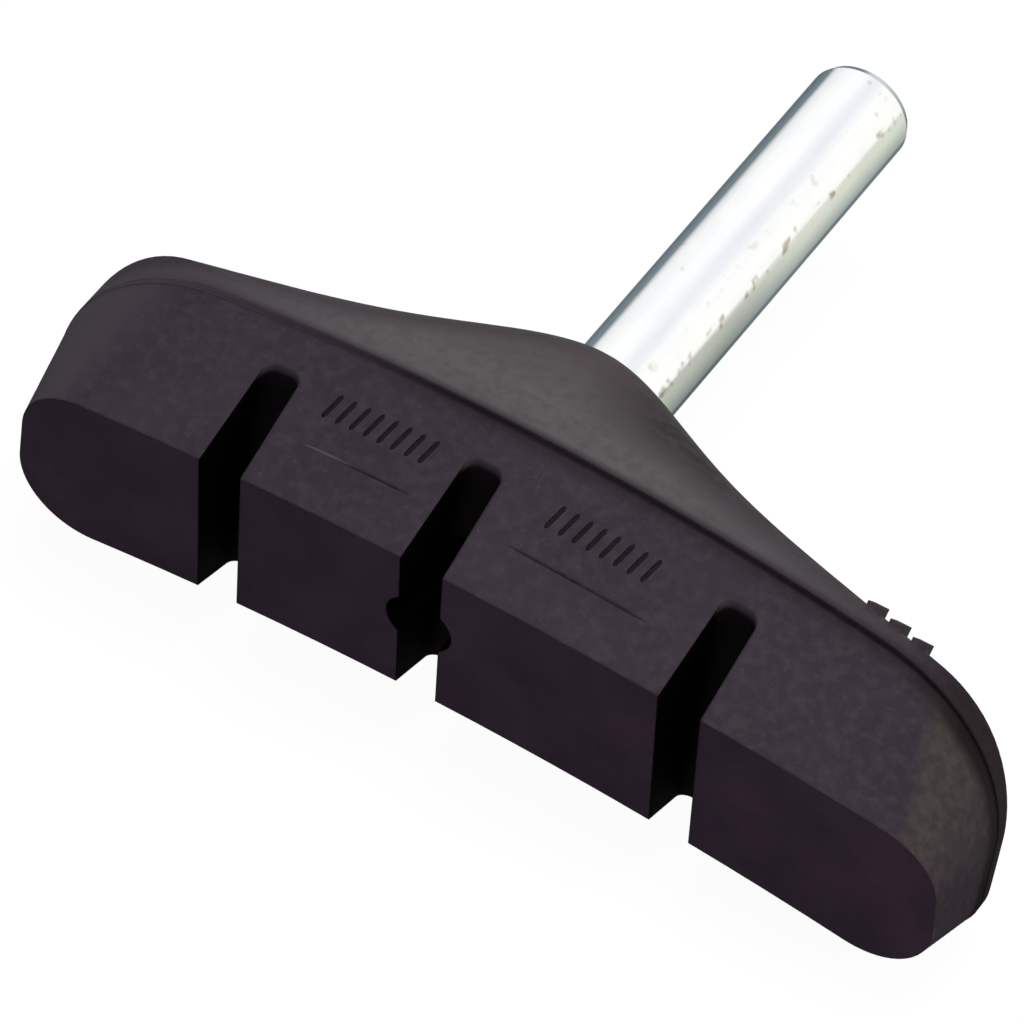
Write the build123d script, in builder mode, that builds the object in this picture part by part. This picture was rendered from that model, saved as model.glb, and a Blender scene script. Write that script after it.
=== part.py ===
"""Rim brake pad with a smooth post: a rubber moulding over a steel insert plate and a riveted post.

Frame: x runs along the pad, y along the post and away from the rim, z up. Units are mm.
The post axis is the y axis, and the origin is the post's root, where it leaves the backing.
"""
import os
from math import cos, radians, sin, sqrt

from build123d import *

os.makedirs("parts", exist_ok=True)

# Braking face: tilted against the post, because a cantilever arm leans outward
face_y = -22.5
face_tilt = 12.0
face_plane = Plane(
    origin=(0, face_y, 0),
    x_dir=(1, 0, 0),
    z_dir=(0, -cos(radians(face_tilt)), -sin(radians(face_tilt))),
)

# Friction block: an outline ahead of the face and one at the lip, joined by straight walls
front_ahead = 3.0
front_y = face_y - front_ahead
front_left = 27.1
front_right = 35.5
front_top = 5.2
front_bottom = -6.0
front_bend = 195.0
front_corner_top = 3.0
front_corner_bottom = 5.5

# Lip: the rim of the backing, one step wider than the block and nearly flush with its ends
lip_depth = 8.5
lip_y = face_y + lip_depth
lip_left = 30.2
lip_right = 35.7
lip_top = 10.35
lip_bottom = -9.4
lip_bend = 150.0
lip_corner_top = 12.0
lip_corner_bottom = 4.5
lip_step = 0.5
lip_end_step = 0.03
lip_fade = 0.65

# Backing: a bell that carries the post, drawn as sections along the pad
bell_crest = 0.75
bell_base = 3.0
bell_droop = 143.0
bell_rise = bell_crest - lip_y - bell_base
bell_width = 12.0
bell_shoulder = 1.08
bell_margin = 0.12
bell_end_room = 1.0
bell_shares = (1.015, 0.96, 0.86, 0.63, 0.41, 0.2)

# Raised bars on the upper flank of the backing, near its right end
bar_places = (24.1, 25.8, 27.5)
bar_wide = 0.95
bar_long = 2.0
bar_tall = 0.5
bar_sink = 1.0

# Cooling slots, open at the face, with a flat floor and rounded corners
slot_places = (-14.0, 0.0, 17.7)
slot_mouth = 2.9
slot_root = 2.5
slot_corner = 0.85
slot_depth = 6.0
slot_floor = face_y + slot_depth
slot_mouth_ahead = 1.3
slot_mouth_y = face_y - slot_mouth_ahead

# Steel insert plate with holes that the rubber flows through
plate_depth = 7.1
plate_front = face_y + plate_depth
plate_thick = 1.6
plate_back = plate_front + plate_thick
plate_height = 10.0
plate_left = 18.5
plate_right = 24.5
flow_hole_d = 4.2
flow_hole_places = (-11.0, 14.0)

# Post: turned, with a thinner shank in the rubber, a spigot through the plate and a closed head
post_d = 7.0
post_end = 33.8
post_round = 0.7
post_ease = post_round * (1 - sqrt(0.5))
shank_d = 6.2
spigot_d = 5.0
head_d = 8.0
head_thick = 0.7
head_front = plate_front - head_thick
head_bevel = 0.3

# Hole left by the pin that holds the post in the mould
pin_hole_d = 4.5


def drop(x, bend):
    """How far a long edge bent to this radius has fallen at x."""
    return bend - sqrt(bend * bend - x * x)


def bell_height(x):
    """Height of the backing above the lip plane at x: a bell on a base that rounds off at both ends."""
    middle = (lip_right - lip_left) / 2
    reach = (lip_right + lip_left) / 2 + bell_end_room
    end_round = (1 - (abs(x - middle) / reach) ** 6) ** 0.43
    base = bell_base - max(0, x - bell_width) ** 2 / (2 * bell_droop)
    return end_round * (base + bell_rise / (1 + (x / bell_width) ** 2))


def outline(left, right, top, bottom, bend):
    """Four edges of a pad outline: bent long edges and straight ends."""
    a = (-left, top - drop(left, bend))
    b = (right, top - drop(right, bend))
    c = (right, bottom - drop(right, bend))
    d = (-left, bottom - drop(left, bend))
    ThreePointArc(a, (0, top), b)
    Line(b, c)
    ThreePointArc(c, (0, bottom), d)
    Line(d, a)


def round_corners(sketch, left_radius, right_radius, bottom_radius):
    """Rounds the upper left, the upper right and both lower corners of a pad outline."""
    fillet(sketch.vertices().group_by(Axis.X)[0].sort_by(Axis.Y)[-1], left_radius)
    fillet(sketch.vertices().group_by(Axis.X)[-1].sort_by(Axis.Y)[-1], right_radius)
    fillet(sketch.vertices().sort_by(Axis.Y)[:2], bottom_radius)


# Post
with BuildPart() as post:
    with BuildSketch(Plane.XY) as post_profile:
        with BuildLine():
            Polyline(
                (0, head_front),
                (head_d / 2 - head_bevel, head_front),
                (head_d / 2, head_front + head_bevel),
                (head_d / 2, plate_front),
                (spigot_d / 2, plate_front),
                (spigot_d / 2, plate_back),
                (shank_d / 2, plate_back),
                (shank_d / 2, 0),
                (post_d / 2, 0),
                (post_d / 2, post_end - post_round),
                (post_d / 2 - post_ease, post_end - post_ease),
                (post_d / 2 - post_round, post_end),
                (0, post_end),
                close=True,
            )
        make_face()
    revolve(axis=Axis.Y)
post.part.label = "post"

# Insert plate
with BuildPart() as plate:
    with BuildSketch(Plane.XZ.offset(-plate_back)) as plate_outline:
        with BuildLine() as plate_spine:
            ThreePointArc(
                (-plate_left, -drop(plate_left, lip_bend)),
                (0, 0),
                (plate_right, -drop(plate_right, lip_bend)),
            )
        SlotArc(plate_spine.edge(), plate_height)
        with Locations(*[(x, -drop(x, lip_bend)) for x in flow_hole_places]):
            Circle(flow_hole_d / 2, mode=Mode.SUBTRACT)
        Circle(spigot_d / 2, mode=Mode.SUBTRACT)
    extrude(amount=plate_thick)
plate.part.label = "insert_plate"

# Backing: a loft through the bell sections, trimmed by the lip outline
bell_stations = [-share * lip_left for share in bell_shares]
bell_stations += [0.0]
bell_stations += [share * lip_right for share in reversed(bell_shares)]
with BuildPart() as backing:
    for x in bell_stations:
        half = (lip_top - lip_bottom) / 2 + bell_margin
        centre = (lip_top + lip_bottom) / 2 - drop(x, lip_bend)
        tall = bell_height(x)
        station = Plane(origin=(x, lip_y, centre), x_dir=(0, 1, 0), z_dir=(1, 0, 0))
        with BuildSketch(station):
            with BuildLine():
                crest = tall * 4 / 3
                Bezier((0, half), (crest, bell_shoulder * half), (crest, -bell_shoulder * half), (0, -half))
                Line((0, -half), (0, half))
            make_face()
    loft()
    with BuildSketch(Plane.XZ.offset(-lip_y)) as lip_outline:
        with BuildLine():
            outline(lip_left, lip_right, lip_top, lip_bottom, lip_bend)
        make_face()
        round_corners(lip_outline, lip_corner_top, lip_corner_top, lip_corner_bottom)
    extrude(amount=2 * lip_y, mode=Mode.INTERSECT)

# Rubber pad
with BuildPart() as pad:
    with BuildSketch(Plane.XZ.offset(-front_y)) as block_front:
        with BuildLine():
            outline(front_left, front_right, front_top, front_bottom, front_bend)
        make_face()
        round_corners(block_front, front_corner_top, front_corner_top, front_corner_bottom)
    with BuildSketch(Plane.XZ.offset(-lip_y)) as block_back:
        with BuildLine():
            outline(
                lip_left - lip_end_step,
                lip_right - lip_end_step,
                lip_top - lip_step,
                lip_bottom + lip_step,
                lip_bend,
            )
        make_face()
        round_corners(
            block_back,
            lip_corner_top - lip_fade,
            lip_corner_top - lip_step,
            lip_corner_bottom - lip_step,
        )
    loft(ruled=True)
    split(bisect_by=face_plane, keep=Keep.BOTTOM)
    add(backing.part)

    # Raised bars, set into the flank where it leans at 45 degrees
    for x in bar_places:
        half = (lip_top - lip_bottom) / 2
        centre = (lip_top + lip_bottom) / 2 - drop(x, lip_bend)
        flank = (x, lip_y + 0.5 * bell_height(x), centre + 0.905 * half)
        with BuildSketch(Plane(origin=flank, x_dir=(1, 0, 0), z_dir=(0, 1, 1)).offset(bar_tall)):
            Rectangle(bar_wide, bar_long)
        extrude(amount=-bar_tall - bar_sink)

    # Slots
    taper = (slot_mouth - slot_root) / (slot_floor - slot_mouth_y)
    open_half = slot_mouth / 2 + front_ahead * taper / 2
    open_y = slot_mouth_y - front_ahead
    with BuildSketch(Plane.XY) as slots:
        for x in slot_places:
            with BuildLine():
                Polyline(
                    (x - slot_root / 2, slot_floor),
                    (x - open_half, open_y),
                    (x + open_half, open_y),
                    (x + slot_root / 2, slot_floor),
                    close=True,
                )
            make_face()
        fillet(slots.vertices().group_by(Axis.Y)[-1], slot_corner)
    extrude(amount=lip_left, both=True, mode=Mode.SUBTRACT)

    # Pin hole, up to the head of the post
    with BuildSketch(Plane.XZ.offset(-head_front)):
        Circle(pin_hole_d / 2)
    extrude(amount=head_front - front_y + front_ahead, mode=Mode.SUBTRACT)

    # Room for the plate and the post, which the rubber is moulded onto
    add(plate.part, mode=Mode.SUBTRACT)
    add(post.part, mode=Mode.SUBTRACT)
pad.part.label = "rubber_pad"

export_step(pad.part, "parts/rubber_pad.step")
export_step(plate.part, "parts/insert_plate.step")
export_step(post.part, "parts/post.step")
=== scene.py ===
"""Looks for the rim brake pad: camera, materials, moulded marks, floor and light."""

from math import cos, pi, sin

import bpy
from mathutils import Matrix, Vector
from mathutils.bvhtree import BVHTree


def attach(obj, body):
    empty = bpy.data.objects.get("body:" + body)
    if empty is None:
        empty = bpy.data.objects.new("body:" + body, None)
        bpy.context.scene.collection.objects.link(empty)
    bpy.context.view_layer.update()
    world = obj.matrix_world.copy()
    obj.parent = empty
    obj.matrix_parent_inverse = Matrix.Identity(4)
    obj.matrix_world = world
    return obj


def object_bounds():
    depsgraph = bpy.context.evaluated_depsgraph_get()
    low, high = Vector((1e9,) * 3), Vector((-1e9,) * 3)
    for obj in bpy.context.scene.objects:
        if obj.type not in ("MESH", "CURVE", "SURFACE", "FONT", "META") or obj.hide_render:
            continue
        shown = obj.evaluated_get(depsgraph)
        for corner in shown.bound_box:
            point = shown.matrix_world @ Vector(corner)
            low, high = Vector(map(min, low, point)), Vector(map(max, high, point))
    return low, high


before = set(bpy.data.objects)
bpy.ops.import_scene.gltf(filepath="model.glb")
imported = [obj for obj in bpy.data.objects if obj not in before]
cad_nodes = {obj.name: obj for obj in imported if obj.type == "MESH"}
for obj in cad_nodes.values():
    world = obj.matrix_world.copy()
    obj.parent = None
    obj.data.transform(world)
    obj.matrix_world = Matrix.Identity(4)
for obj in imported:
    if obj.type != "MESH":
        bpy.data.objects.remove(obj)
cad_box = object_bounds()
scene = bpy.context.scene
scene.view_settings.view_transform = "Standard"

# Places on the pad, in metres, taken from the part's source
LIP_Y = -0.0140
BELL_BASE = 0.0030
BELL_RISE = 0.01175
BELL_WIDTH = 0.0120
SLOT_PLACES = (-0.0140, 0.0, 0.0177)
SLOT_FLOOR_Y = -0.0165
SLOT_MOUTH_Y = -0.0238
SLOT_ROOT_HALF = 0.00125
SLOT_MOUTH_HALF = 0.00145
PIN_HOLE_RADIUS = 0.00225

# The block's upper wall where the slots end: its height, its bend's radius and its slope
WALL_TOP = 0.00884
WALL_BEND = 0.1593
WALL_SLOPE = 0.404

# The braking face lies ahead of this y, and masks of the recesses reach this far past their walls
FACE_BEGINS_Y = -0.018
MARGIN = 0.00002

# Colours of the rubber, painted light and shade among them, each given as linear red, green and blue
BLOCK_DARK = (0.0345, 0.0247, 0.0363)
BLOCK_LIGHT = (0.048, 0.0353, 0.0497)
# Painted shade, on the block towards its longer end and on the bell's shorter end
BLOCK_PAINTED_SHADE = (0.018, 0.012, 0.018)
# Painted light where the block's shorter end turns up and away from the lamps
SHORT_END_PAINTED_LIGHT = (0.088, 0.074, 0.088)
SKIN_BLOOM = (0.132, 0.126, 0.129)
# Painted shade on the bell's top
BELL_TOP_PAINTED_SHADE = (0.018, 0.012, 0.016)
MOTTLED = (0.065, 0.053, 0.064)
GRAINY = (0.105, 0.098, 0.105)
# Painted light on the block's longer end, where it turns towards the right-hand lamp
LONG_END_PAINTED_LIGHT_LOW = (0.045, 0.036, 0.036)
LONG_END_PAINTED_LIGHT_HIGH = (0.062, 0.053, 0.050)
# Painted shade on the backing's rim at the block's longer end
RIM_PAINTED_SHADE = (0.012, 0.007, 0.009)
# Painted shade in the creases ahead of the lip
CREASE_PAINTED_SHADE = (0.010, 0.006, 0.008)
# Painted light on the ledge under the lip, towards the shorter end
LEDGE_PAINTED_LIGHT = (0.170, 0.138, 0.170)
WORN_DARK = (0.036, 0.0205, 0.037)
WORN_LIGHT = (0.051, 0.031, 0.052)
# Painted light at the upper edge of the slots' rounded ends
SLOT_EDGE_PAINTED_LIGHT = (0.075, 0.062, 0.076)
# Painted shade that turns the slots and the pin hole black
RECESS_PAINTED_SHADE = (0.0022, 0.0012, 0.0014)
LINE_DARK = (0.018, 0.011, 0.018)
LINE_LIGHT = (0.034, 0.022, 0.034)
# Painted highlight on the first part of the left wear line
LINE_PAINTED_HIGHLIGHT = (0.085, 0.068, 0.084)
TICK_DARK = (0.005, 0.003, 0.005)
TICK_LIGHT = (0.014, 0.009, 0.014)

# The backing's greyer skin, with painted shade darkening it up the bell, by share of the bell's height
SKIN_GREYS_AND_PAINTED_SHADE = (
    (0.02, (0.094, 0.087, 0.091)),
    (0.20, (0.102, 0.096, 0.100)),
    (0.47, (0.081, 0.069, 0.073)),
    (0.80, (0.041, 0.028, 0.031)),
)

# Colours of the steels
STREAK_DARK = (0.89, 0.90, 0.91)
STREAK_LIGHT = (0.96, 0.965, 0.96)
PLATING_PATCH = (0.82, 0.83, 0.87)
PLATING_SPECK = (0.46, 0.42, 0.33)
RUST = (0.27, 0.20, 0.07)
BURIED_STAIN = (0.022, 0.018, 0.020)
PLATING_EDGE_TINT = (0.16, 0.19, 0.22)
PLATE_DARK = (0.30, 0.30, 0.31)
PLATE_LIGHT = (0.42, 0.42, 0.43)

# Lines of rust specks along the post: direction in x and z, half width, range of the noise, strength
RUST_LINES = (
    ((0.819, 0.574), 0.0004, (0.55, 0.70), 0.62),
    ((0.50, 0.866), 0.0005, (0.60, 0.80), 0.30),
)

# Painted shade of the floor that only the post mirrors, along x
MIRRORED_FLOOR_PAINTED_SHADES = (
    (0.00, (0.80, 0.82, 0.83)),
    (0.22, (0.38, 0.42, 0.44)),
    (0.42, (0.32, 0.375, 0.40)),
    (0.60, (0.44, 0.54, 0.58)),
    (0.66, (0.78, 0.86, 0.88)),
    (0.78, (0.88, 0.93, 0.85)),
    (0.84, (0.72, 0.78, 0.68)),
    (0.88, (0.77, 0.82, 0.71)),
    (0.97, (0.83, 0.85, 0.73)),
)

# Tints of the studio's light, from the left to the right
SKY_TINTS = (
    (0.00, (1.0, 1.0, 1.0)),
    (0.36, (1.0, 1.0, 1.0)),
    (0.50, (0.85, 0.87, 0.90)),
    (0.58, (0.85, 0.87, 0.90)),
    (0.71, (1.0, 1.0, 0.98)),
    (1.00, (1.0, 1.0, 0.94)),
)

# Ranges of the noises: the rubber's clouds, and those that set roughness and the plate's colour
CLOUD_LOW = 0.30
CLOUD_HIGH = 0.72
ROUGH_LOW = 0.3
ROUGH_HIGH = 0.7

# Places of the colour sockets on Blender's Mix node
MIX_SHARE = 0
MIX_FIRST = 6
MIX_SECOND = 7
MIX_RESULT = 2


# Camera, fitted to the photograph

PICTURE_WIDTH = 1024.0
FOCAL_PIXELS = 10530.7
SENSOR_WIDTH = 36.0
CAMERA_PLACE = Vector((0.166010, -0.427750, 0.449981))
CAMERA_RIGHT = Vector((0.859161, 0.492479, 0.138947))
CAMERA_DOWN = Vector((0.439856, -0.572026, -0.692325))
CAMERA_FORWARD = Vector((-0.261474, 0.655935, -0.708082))

cam_data = bpy.data.cameras.new("camera")
cam_data.sensor_width = SENSOR_WIDTH
cam_data.lens = FOCAL_PIXELS * SENSOR_WIDTH / PICTURE_WIDTH
cam_data.clip_start = 0.01
cam_data.clip_end = 20.0
camera = bpy.data.objects.new("camera", cam_data)
scene.collection.objects.link(camera)
camera_turn = Matrix((CAMERA_RIGHT, -CAMERA_DOWN, -CAMERA_FORWARD)).transposed().to_4x4()
camera.matrix_world = Matrix.Translation(CAMERA_PLACE) @ camera_turn
scene.camera = camera


# Helpers for node trees


class Nodes:
    """Adds nodes to one node tree and joins them."""

    def __init__(self, tree):
        self.tree = tree

    def add(self, kind, **settings):
        """A new node with some of its settings."""
        node = self.tree.nodes.new(kind)
        for key, value in settings.items():
            setattr(node, key, value)
        return node

    def join(self, source, target):
        """Joins a node's output to a socket."""
        self.tree.links.new(source, target)

    def feed(self, socket, value):
        """Sets a socket to a number or a colour, or joins a node's output to it."""
        if isinstance(value, (int, float)):
            socket.default_value = value
        elif isinstance(value, tuple):
            socket.default_value = (*value, 1.0)
        else:
            self.join(value, socket)

    def split(self, vector, letter):
        """The x, y or z of a vector."""
        node = self.add("ShaderNodeSeparateXYZ")
        self.join(vector, node.inputs["Vector"])
        return node.outputs[letter]

    def axis(self, letter):
        """The x, y or z of the place on the object."""
        return self.split(self.add("ShaderNodeTexCoord").outputs["Object"], letter)

    def facing(self, letter, kind="Normal"):
        """The x, y or z of the surface's normal."""
        return self.split(self.add("ShaderNodeNewGeometry").outputs[kind], letter)

    def coords(self, scale=(1, 1, 1)):
        """The place on the object, scaled along its axes."""
        place = self.add("ShaderNodeTexCoord")
        mapping = self.add("ShaderNodeMapping")
        mapping.inputs["Scale"].default_value = scale
        self.join(place.outputs["Object"], mapping.inputs["Vector"])
        return mapping.outputs["Vector"]

    def noise(self, vector, scale, detail, roughness):
        """A noise between zero and one."""
        node = self.add("ShaderNodeTexNoise")
        for key, number in (("Scale", scale), ("Detail", detail), ("Roughness", roughness)):
            node.inputs[key].default_value = number
        self.join(vector, node.inputs["Vector"])
        return node.outputs["Fac"]

    def ramp(self, value, *stops):
        """A colour that follows a value through stops."""
        node = self.add("ShaderNodeValToRGB")
        ends = node.color_ramp.elements
        while len(ends) < len(stops):
            ends.new(0.5)
        for end, (place, colour) in zip(ends, stops):
            end.position = place
            end.color = (*colour, 1.0)
        self.join(value, node.inputs["Fac"])
        return node.outputs["Color"]

    def spread(self, value, low, high, new_low, new_high, curve="LINEAR"):
        """Maps a range onto another, and holds the ends' values outside it."""
        node = self.add("ShaderNodeMapRange", interpolation_type=curve)
        numbers = {"From Min": low, "From Max": high, "To Min": new_low, "To Max": new_high}
        for key, number in numbers.items():
            node.inputs[key].default_value = number
        self.join(value, node.inputs["Value"])
        return node.outputs["Result"]

    def fade(self, value, start, full, most=1):
        """Zero up to start, then rising, and the most from full on. Start may be above full."""
        return self.spread(value, start, full, 0, most)

    def math(self, operation, *values):
        """One math operation."""
        node = self.add("ShaderNodeMath", operation=operation)
        for socket, value in zip(node.inputs, values):
            self.feed(socket, value)
        return node.outputs[0]

    def fold(self, operation, values):
        """One math operation over several values in turn."""
        result = values[0]
        for value in values[1:]:
            result = self.math(operation, result, value)
        return result

    def times(self, *values):
        """The product of several values."""
        return self.fold("MULTIPLY", values)

    def mix(self, share, first, second):
        """The first colour, turned into the second by a share."""
        node = self.add("ShaderNodeMix", data_type="RGBA")
        for place, value in ((MIX_SHARE, share), (MIX_FIRST, first), (MIX_SECOND, second)):
            self.feed(node.inputs[place], value)
        return node.outputs[MIX_RESULT]

    def blend(self, share, first, second):
        """The first shader, turned into the second by a share."""
        node = self.add("ShaderNodeMixShader")
        for socket, source in zip(node.inputs, (share, first, second)):
            self.join(source, socket)
        return node.outputs["Shader"]

    def bump(self, height, strength, distance, normal):
        """A normal with bumps from a height."""
        node = self.add("ShaderNodeBump")
        node.inputs["Strength"].default_value = strength
        node.inputs["Distance"].default_value = distance
        self.join(height, node.inputs["Height"])
        self.join(normal, node.inputs["Normal"])
        return node.outputs["Normal"]

    def soft_edges(self, radius):
        """A normal that rounds sharp edges off."""
        node = self.add("ShaderNodeBevel", samples=6)
        node.inputs["Radius"].default_value = radius
        return node.outputs["Normal"]


class Material(Nodes):
    """A material with its main shader."""

    def __init__(self, name):
        self.material = bpy.data.materials.new(name)
        self.material.use_nodes = True
        super().__init__(self.material.node_tree)
        self.shader = self.tree.nodes["Principled BSDF"]

    def give(self, socket, value):
        """Sets or joins one of the shader's own sockets."""
        self.feed(self.shader.inputs[socket], value)

    def rough(self, noise, least, most):
        """Roughness that follows a noise."""
        self.give("Roughness", self.spread(noise, ROUGH_LOW, ROUGH_HIGH, least, most))


# Rubber of the pad


def block_colour(m, x, cloud):
    """Plum black, with painted shade towards the longer end and painted light where the shorter end turns
    up.
    """
    colour = m.ramp(cloud, (CLOUD_LOW, BLOCK_DARK), (CLOUD_HIGH, BLOCK_LIGHT))
    # Painted shade towards the longer end
    colour = m.mix(m.fade(x, start=0.014, full=0.028, most=0.22), colour, BLOCK_PAINTED_SHADE)
    # Painted light where the shorter end turns up
    to_left = m.fade(m.facing("X"), start=-0.2, full=-0.6, most=0.42)
    to_top = m.fade(m.facing("Z"), start=0, full=0.4)
    return m.mix(m.times(to_left, to_top), colour, SHORT_END_PAINTED_LIGHT)


def backing_colour(m, x, y, cloud, on_back, block):
    """A greyer skin on the bell that fades into the block's colour at both ends, with painted shade that
    darkens it upwards and at the shorter end.
    """
    widths_out = m.math("POWER", m.math("DIVIDE", x, BELL_WIDTH), 2)
    bell = m.math("ADD", BELL_BASE, m.math("DIVIDE", BELL_RISE, m.math("ADD", 1, widths_out)))
    height = m.math("DIVIDE", m.math("SUBTRACT", y, LIP_Y), bell)
    # The skin's grey, with painted shade towards the bell's top
    skin = m.ramp(height, *SKIN_GREYS_AND_PAINTED_SHADE)
    skin = m.mix(m.fade(cloud, start=CLOUD_LOW, full=CLOUD_HIGH, most=0.25), skin, SKIN_BLOOM)
    from_left = m.fade(x, start=-0.028, full=-0.010)
    from_right = m.fade(x, start=0.030, full=0.009)
    colour = m.mix(m.times(on_back, m.math("MINIMUM", from_left, from_right)), block, skin)
    # Painted shade on the bell's shorter end
    left_end = m.fade(x, start=-0.0225, full=-0.0255, most=0.28)
    colour = m.mix(m.times(on_back, left_end), colour, BLOCK_PAINTED_SHADE)
    # Painted shade on the bell's top, on both sides of the post
    right_top = m.fade(height, start=0.15, full=0.55, most=0.85)
    right_side = m.times(m.fade(x, start=0.001, full=0.007), m.fade(x, start=0.027, full=0.022))
    left_height = m.math("ADD", height, m.fade(x, start=0, full=-0.013, most=0.39))
    left_top = m.fade(left_height, start=0.57, full=0.77, most=0.5)
    left_side = m.fade(x, start=0.001, full=-0.001)
    top = m.math("MAXIMUM", m.times(right_top, right_side), m.times(left_top, left_side))
    return m.mix(m.times(on_back, top), colour, BELL_TOP_PAINTED_SHADE)


def long_end_colour(m, x, mottle, on_back, ahead, colour):
    """Painted light on the block's longer end where it turns right and up, and painted shade on the
    backing's rim behind it.
    """
    # Painted light where the longer end turns right and up
    to_right = m.fade(m.facing("X"), start=0.43, full=0.55)
    to_top = m.fade(m.facing("Z"), start=0.1, full=0.9)
    painted_light = m.ramp(mottle, (0.38, LONG_END_PAINTED_LIGHT_LOW), (0.62, LONG_END_PAINTED_LIGHT_HIGH))
    colour = m.mix(m.times(to_right, to_top, ahead), colour, painted_light)
    # Painted shade on the backing's rim behind the longer end
    right_end = m.fade(x, start=0.027, full=0.031, most=0.7)
    upright = m.fade(m.facing("Y"), start=0.5, full=0.2)
    return m.mix(m.times(right_end, upright, on_back), colour, RIM_PAINTED_SHADE)


def lip_colour(m, x, y, ahead, colour):
    """Painted shade in the creases ahead of the lip, and painted light on the ledge under it towards the
    shorter end.
    """
    # Painted shade in the creases ahead of the lip
    crease = m.fade(y, start=LIP_Y - 0.0011, full=LIP_Y - 0.0001, most=0.5)
    crease = m.times(crease, ahead, m.fade(x, start=-0.014, full=-0.002))
    colour = m.mix(crease, colour, CREASE_PAINTED_SHADE)
    end_crease = m.fade(y, start=LIP_Y - 0.0017, full=LIP_Y - 0.0007, most=0.9)
    end_crease = m.times(end_crease, ahead, m.fade(x, start=0.027, full=0.032))
    colour = m.mix(end_crease, colour, CREASE_PAINTED_SHADE)
    # Painted light on the ledge, against its shade
    near_lip = m.math("LESS_THAN", m.math("ABSOLUTE", m.math("SUBTRACT", y, LIP_Y)), 0.0002)
    to_front = m.math("LESS_THAN", m.facing("Y", "True Normal"), -0.9)
    to_left = m.fade(x, start=-0.005, full=-0.028, most=0.9)
    return m.mix(m.times(near_lip, to_front, to_left), colour, LEDGE_PAINTED_LIGHT)


def in_slots(m, x, y):
    """One on the slots' walls, a little less close to their floors, and zero elsewhere."""
    nearest = m.fold("MINIMUM", [m.math("ABSOLUTE", m.math("SUBTRACT", x, place)) for place in SLOT_PLACES])
    half = m.spread(y, SLOT_FLOOR_Y, SLOT_MOUTH_Y, SLOT_ROOT_HALF + MARGIN, SLOT_MOUTH_HALF + MARGIN)
    between = m.math("LESS_THAN", nearest, half)
    deep = m.spread(y, SLOT_FLOOR_Y - 0.0009, SLOT_FLOOR_Y - MARGIN, new_low=1, new_high=0.75)
    ahead = m.math("LESS_THAN", y, SLOT_FLOOR_Y + MARGIN)
    upright = m.math("LESS_THAN", m.facing("Z", "True Normal"), 0.6)
    return m.times(between, deep, ahead, upright)


def at_slot_ends(m, x, y, z):
    """One at the upper edge of the slots' rounded ends, and zero deeper down and further ahead."""
    fallen = m.math("DIVIDE", m.times(x, x), 2 * WALL_BEND)
    leaned = m.times(m.math("SUBTRACT", SLOT_FLOOR_Y, y), WALL_SLOPE)
    wall = m.math("SUBTRACT", WALL_TOP, m.math("ADD", fallen, leaned))
    shallow = m.fade(m.math("SUBTRACT", wall, z), start=0.0007, full=0.0003)
    rounded = m.fade(y, start=SLOT_FLOOR_Y - 0.0012, full=SLOT_FLOOR_Y - 0.0005)
    return m.times(shallow, rounded)


def in_pin_hole(m, x, z):
    """One within the pin hole's radius of the post's axis, and zero elsewhere."""
    from_axis = m.math("SQRT", m.math("ADD", m.times(x, x), m.times(z, z)))
    return m.math("LESS_THAN", from_axis, PIN_HOLE_RADIUS + MARGIN)


def rubber():
    """Moulded brake rubber: plum black on the block, greyer on the backing, with painted light and shade in
    places, and painted shade that turns the recesses black.
    """
    m = Material("brake_rubber")
    here = m.coords()
    cloud = m.noise(here, scale=170, detail=5, roughness=0.6)
    mottle = m.noise(here, scale=1250, detail=4, roughness=0.6)
    grain = m.noise(here, scale=2600, detail=3, roughness=0.5)
    x, y, z = (m.axis(letter) for letter in "XYZ")
    on_back = m.fade(y, start=LIP_Y - 0.0001, full=LIP_Y + 0.0006)
    ahead = m.math("SUBTRACT", 1, on_back)
    colour = backing_colour(m, x, y, cloud, on_back, block_colour(m, x, cloud))
    colour = m.mix(m.fade(mottle, start=0.44, full=0.66, most=0.42), colour, MOTTLED)
    colour = m.mix(m.fade(grain, start=0.62, full=0.74, most=0.16), colour, GRAINY)
    colour = long_end_colour(m, x, mottle, on_back, ahead, colour)
    colour = lip_colour(m, x, y, ahead, colour)
    to_front = m.fade(m.facing("Y"), start=-0.85, full=-0.95)
    on_face = m.times(to_front, m.math("LESS_THAN", y, FACE_BEGINS_Y))
    colour = m.mix(on_face, colour, m.ramp(cloud, (CLOUD_LOW, WORN_DARK), (CLOUD_HIGH, WORN_LIGHT)))
    slots = in_slots(m, x, y)
    # Painted light at the upper edge of the slots' rounded ends
    slot_edges = m.times(slots, at_slot_ends(m, x, y, z))
    colour = m.mix(slot_edges, colour, SLOT_EDGE_PAINTED_LIGHT)
    # Painted shade: the slots and the pin hole turn black
    recess_shade = m.math("MAXIMUM", m.math("SUBTRACT", slots, slot_edges), in_pin_hole(m, x, z))
    m.give("Base Color", m.mix(recess_shade, colour, RECESS_PAINTED_SHADE))
    m.give("Specular IOR Level", 0.05)
    m.rough(cloud, least=0.52, most=0.66)
    fine = m.bump(grain, strength=0.22, distance=0.00005, normal=m.soft_edges(0.0003))
    m.give("Normal", m.bump(cloud, strength=0.18, distance=0.00025, normal=fine))
    return m.material


def mark_rubber(name, dark, light, highlight_before=None):
    """Rubber of the small moulded marks on the block's upper wall, with a painted highlight before a given
    x.
    """
    m = Material(name)
    grain = m.noise(m.coords(), scale=1900, detail=4, roughness=0.6)
    colour = m.ramp(grain, (0.35, dark), (0.68, light))
    if highlight_before is not None:
        # Painted highlight before the given x
        highlight = m.fade(m.axis("X"), start=highlight_before + 0.002, full=highlight_before)
        colour = m.mix(highlight, colour, LINE_PAINTED_HIGHLIGHT)
    m.give("Base Color", colour)
    m.give("Specular IOR Level", 0.06)
    m.rough(grain, least=0.50, most=0.66)
    return m.material


# Steels of the post and the plate


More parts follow.
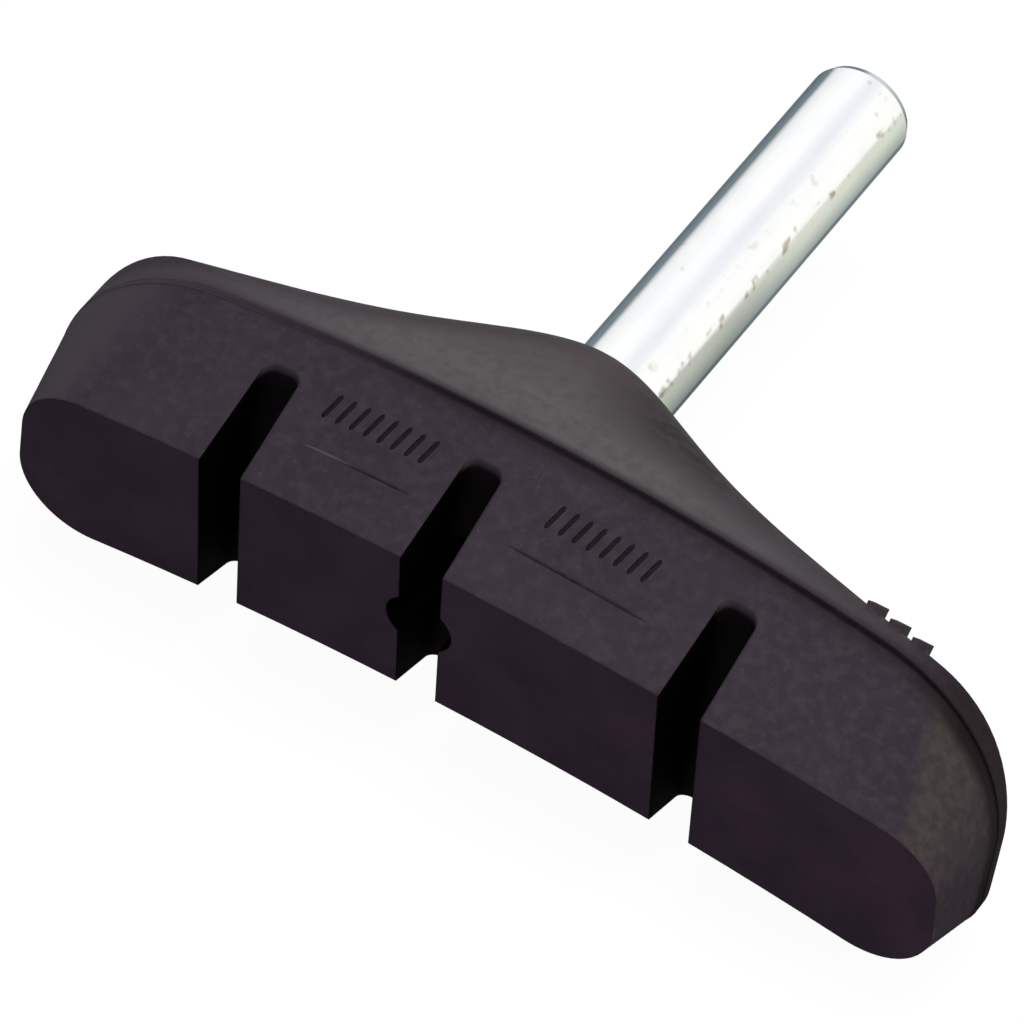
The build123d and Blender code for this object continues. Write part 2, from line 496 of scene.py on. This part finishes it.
def plated_steel():
    """Bright plated steel, drawn along the post, with specks of rust and a stained buried end."""
    m = Material("plated_steel")
    here = m.coords()
    streak = m.noise(m.coords((1.0, 0.05, 1.0)), scale=1500, detail=4, roughness=0.6)
    cloud = m.noise(here, scale=260, detail=4, roughness=0.6)
    patch = m.noise(m.coords((1.0, 0.6, 1.0)), scale=420, detail=3, roughness=0.5)
    speck = m.noise(here, scale=900, detail=2, roughness=0.5)
    grain = m.noise(here, scale=1150, detail=1, roughness=0.4)
    x, y, z = (m.axis(letter) for letter in "XYZ")
    colour = m.ramp(streak, (0.25, STREAK_DARK), (0.75, STREAK_LIGHT))
    colour = m.mix(m.fade(patch, start=0.44, full=0.60, most=0.22), colour, PLATING_PATCH)
    colour = m.mix(m.fade(speck, start=0.70, full=0.78, most=0.55), colour, PLATING_SPECK)
    on_top = m.math("GREATER_THAN", z, 0.0)
    for (out_x, out_z), half_width, (low, high), strength in RUST_LINES:
        across = m.math("ABSOLUTE", m.math("SUBTRACT", m.times(x, out_z), m.times(z, out_x)))
        near = m.times(m.fade(across, start=half_width, full=half_width / 2), on_top)
        colour = m.mix(m.times(m.fade(grain, start=low, full=high, most=strength), near), colour, RUST)
    colour = m.mix(m.fade(y, start=-0.010, full=-0.012), colour, BURIED_STAIN)
    m.give("Base Color", colour)
    m.give("Metallic", 1.0)
    m.give("Specular Tint", PLATING_EDGE_TINT)
    m.rough(cloud, least=0.08, most=0.14)
    m.give("Normal", m.bump(streak, strength=0.12, distance=0.00004, normal=m.soft_edges(0.00012)))
    return m.material


def plain_steel():
    """Punched sheet steel, inside the rubber."""
    m = Material("plain_steel")
    cloud = m.noise(m.coords(), scale=300, detail=4, roughness=0.6)
    m.give("Base Color", m.ramp(cloud, (ROUGH_LOW, PLATE_DARK), (ROUGH_HIGH, PLATE_LIGHT)))
    m.give("Metallic", 1.0)
    m.rough(cloud, least=0.38, most=0.55)
    return m.material


for node_name, make in (("rubber_pad", rubber), ("post", plated_steel), ("insert_plate", plain_steel)):
    finishes = cad_nodes[node_name].data.materials
    finishes.clear()
    finishes.append(make())


# Small moulded marks on the block's upper wall

RIB_STEPS = 24
RIB_SIDES = 6
RIB_SINK = 0.00002
RIB_TAPER = 6
RIB_TIP = 0.15
LINE_Y = -0.0202
LINE_WIDE = 0.00022
LINE_TALL = 0.00008
TICK_COUNT = 8
TICK_PITCH = 0.00095
TICK_LEAN = 0.00045
TICK_LOW_Y = -0.0184
TICK_HIGH_Y = -0.0165
TICK_WIDE = 0.00036
TICK_TALL = 0.00005
RAY_START_Z = 0.1

pad = cad_nodes["rubber_pad"]
pad_tree = BVHTree.FromPolygons(
    [pad.matrix_world @ v.co for v in pad.data.vertices], [tuple(p.vertices) for p in pad.data.polygons]
)


def seat(x, y):
    """The point of the upper wall at x, y, and the wall's normal there."""
    return pad_tree.ray_cast(Vector((x, y, RAY_START_Z)), Vector((0, 0, -1)))[:2]


def rib(name, lines, wide, tall, material):
    """Rounded ribs that follow the wall from one x, y to another and taper at both ends."""
    row = RIB_SIDES + 1
    points = []
    faces = []
    for (x0, y0), (x1, y1) in lines:
        first = len(points)
        along = Vector((x1 - x0, y1 - y0, 0)).normalized()
        for i in range(RIB_STEPS + 1):
            share = i / RIB_STEPS
            spot, normal = seat(x0 + (x1 - x0) * share, y0 + (y1 - y0) * share)
            side = normal.cross(along).normalized()
            size = min(1.0, RIB_TAPER * share + RIB_TIP, RIB_TAPER * (1 - share) + RIB_TIP)
            for j in range(row):
                turn = pi * j / RIB_SIDES
                out = side * (wide / 2 * size * cos(turn)) + normal * (tall * size * sin(turn) - RIB_SINK)
                points.append(spot + out)
        for i in range(RIB_STEPS):
            for j in range(RIB_SIDES):
                a = first + i * row + j
                faces.append((a, a + 1, a + row + 1, a + row))
            a = first + i * row
            faces.append((a + row, a + row + RIB_SIDES, a + RIB_SIDES, a))
        faces.append(tuple(range(first + RIB_SIDES, first - 1, -1)))
        faces.append(tuple(first + RIB_STEPS * row + j for j in range(row)))
    mesh = bpy.data.meshes.new(name)
    mesh.from_pydata(points, [], faces)
    mesh.polygons.foreach_set("use_smooth", [True] * len(mesh.polygons))
    mesh.materials.append(material)
    piece = bpy.data.objects.new(name, mesh)
    scene.collection.objects.link(piece)
    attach(piece, "root")


def ticks(start):
    """A row of short slanted strokes that starts at x."""
    feet = [start + TICK_PITCH * i for i in range(TICK_COUNT)]
    return [((foot, TICK_LOW_Y), (foot + TICK_LEAN, TICK_HIGH_Y)) for foot in feet]


line_rubber = mark_rubber("line_rubber", LINE_DARK, LINE_LIGHT, highlight_before=-0.0085)
tick_rubber = mark_rubber("tick_rubber", TICK_DARK, TICK_LIGHT)
for line_name, start, end in (("wear_line_left", -0.0105, -0.0029), ("wear_line_right", 0.0035, 0.0135)):
    rib(line_name, [((start, LINE_Y), (end, LINE_Y))], LINE_WIDE, LINE_TALL, line_rubber)
for row_name, start in (("ticks_left", -0.0104), ("ticks_right", 0.0050)):
    rib(row_name, ticks(start), TICK_WIDE, TICK_TALL, tick_rubber)


# Floor

FLOOR_HALF = 3.0
FLOOR_GAP = 0.0002


def floor_material():
    """White with a faint shadow to the camera, painted shades of grey and painted shadow to mirrors, and
    pale to the light.
    """
    f = Material("floor")
    f.give("Base Color", (0.72, 0.72, 0.72))
    f.give("Roughness", 0.9)
    f.give("Specular IOR Level", 0.0)
    x, y = f.axis("X"), f.axis("Y")
    mirrored = f.ramp(f.fade(x, start=-0.15, full=0.05), *MIRRORED_FLOOR_PAINTED_SHADES)
    # Painted shadow of the pad and the post, seen only in the post's mirror
    root_side = f.math("SUBTRACT", f.times(x, 0.853), y)
    mirrored = f.mix(f.fade(root_side, start=-0.0225, full=-0.0135, most=0.32), mirrored, (0.0, 0.0, 0.0))
    mirrored = f.mix(f.fade(y, start=0.010, full=-0.010), mirrored, (0.10, 0.10, 0.10))
    reflection = f.add("ShaderNodeEmission")
    f.join(mirrored, reflection.inputs["Color"])
    white = f.add("ShaderNodeEmission")
    white.inputs["Strength"].default_value = 0.96
    faint = f.add("ShaderNodeBsdfDiffuse")
    faint.inputs["Color"].default_value = (0.06, 0.06, 0.06, 1.0)
    seen = f.add("ShaderNodeAddShader")
    f.join(white.outputs["Emission"], seen.inputs[0])
    f.join(faint.outputs["BSDF"], seen.inputs[1])
    path = f.add("ShaderNodeLightPath")
    lit = f.blend(path.outputs["Is Glossy Ray"], f.shader.outputs["BSDF"], reflection.outputs["Emission"])
    surface = f.blend(path.outputs["Is Camera Ray"], lit, seen.outputs["Shader"])
    f.join(surface, f.tree.nodes["Material Output"].inputs["Surface"])
    return f.material


floor_z = cad_box[0].z - FLOOR_GAP
corners = [(x * FLOOR_HALF, y * FLOOR_HALF, floor_z) for x, y in ((-1, -1), (1, -1), (1, 1), (-1, 1))]
floor_mesh = bpy.data.meshes.new("floor")
floor_mesh.from_pydata(corners, [], [(0, 1, 2, 3)])
floor_mesh.materials.append(floor_material())
floor = bpy.data.objects.new("floor", floor_mesh)
scene.collection.objects.link(floor)


# Soft studio light: even for dull surfaces, and a bright wall behind the part for the post to mirror

world = bpy.data.worlds.new("studio")
world.use_nodes = True
scene.world = world
w = Nodes(world.node_tree)
sky = w.tree.nodes["Background"]
direction = w.add("ShaderNodeTexCoord").outputs["Generated"]
to_back = w.split(direction, "Y")
even = w.spread(to_back, low=-1.0, high=1.0, new_low=0.20, new_high=0.36)
wall = w.spread(to_back, low=0.10, high=0.55, new_low=0.16, new_high=1.10, curve="SMOOTHSTEP")
level = w.add("ShaderNodeMix")
w.join(w.add("ShaderNodeLightPath").outputs["Is Glossy Ray"], level.inputs["Factor"])
w.join(even, level.inputs["A"])
w.join(wall, level.inputs["B"])
w.join(level.outputs["Result"], sky.inputs["Strength"])
to_right = w.spread(w.split(direction, "X"), low=-1.0, high=1.0, new_low=0, new_high=1)
w.join(w.ramp(to_right, *SKY_TINTS), sky.inputs["Color"])


def softbox(name, place, aim, wide, deep, power, colour=(1.0, 1.0, 1.0)):
    """A rectangular area light turned towards a point."""
    data = bpy.data.lights.new(name, "AREA")
    data.shape = "RECTANGLE"
    data.size = wide
    data.size_y = deep
    data.energy = power
    data.color = colour
    lamp = bpy.data.objects.new(name, data)
    scene.collection.objects.link(lamp)
    lamp.location = place
    lamp.rotation_euler = (Vector(aim) - Vector(place)).to_track_quat("-Z", "Y").to_euler()


softbox("key", place=(0.03, -0.04, 0.62), aim=(0, 0, 0), wide=0.40, deep=0.26, power=2.7)
softbox(
    "right",
    place=(0.15, -0.03, 0.07),
    aim=(0.03, -0.018, 0.0),
    wide=0.05,
    deep=0.05,
    power=0.05,
    colour=(1.0, 0.98, 0.80),
)
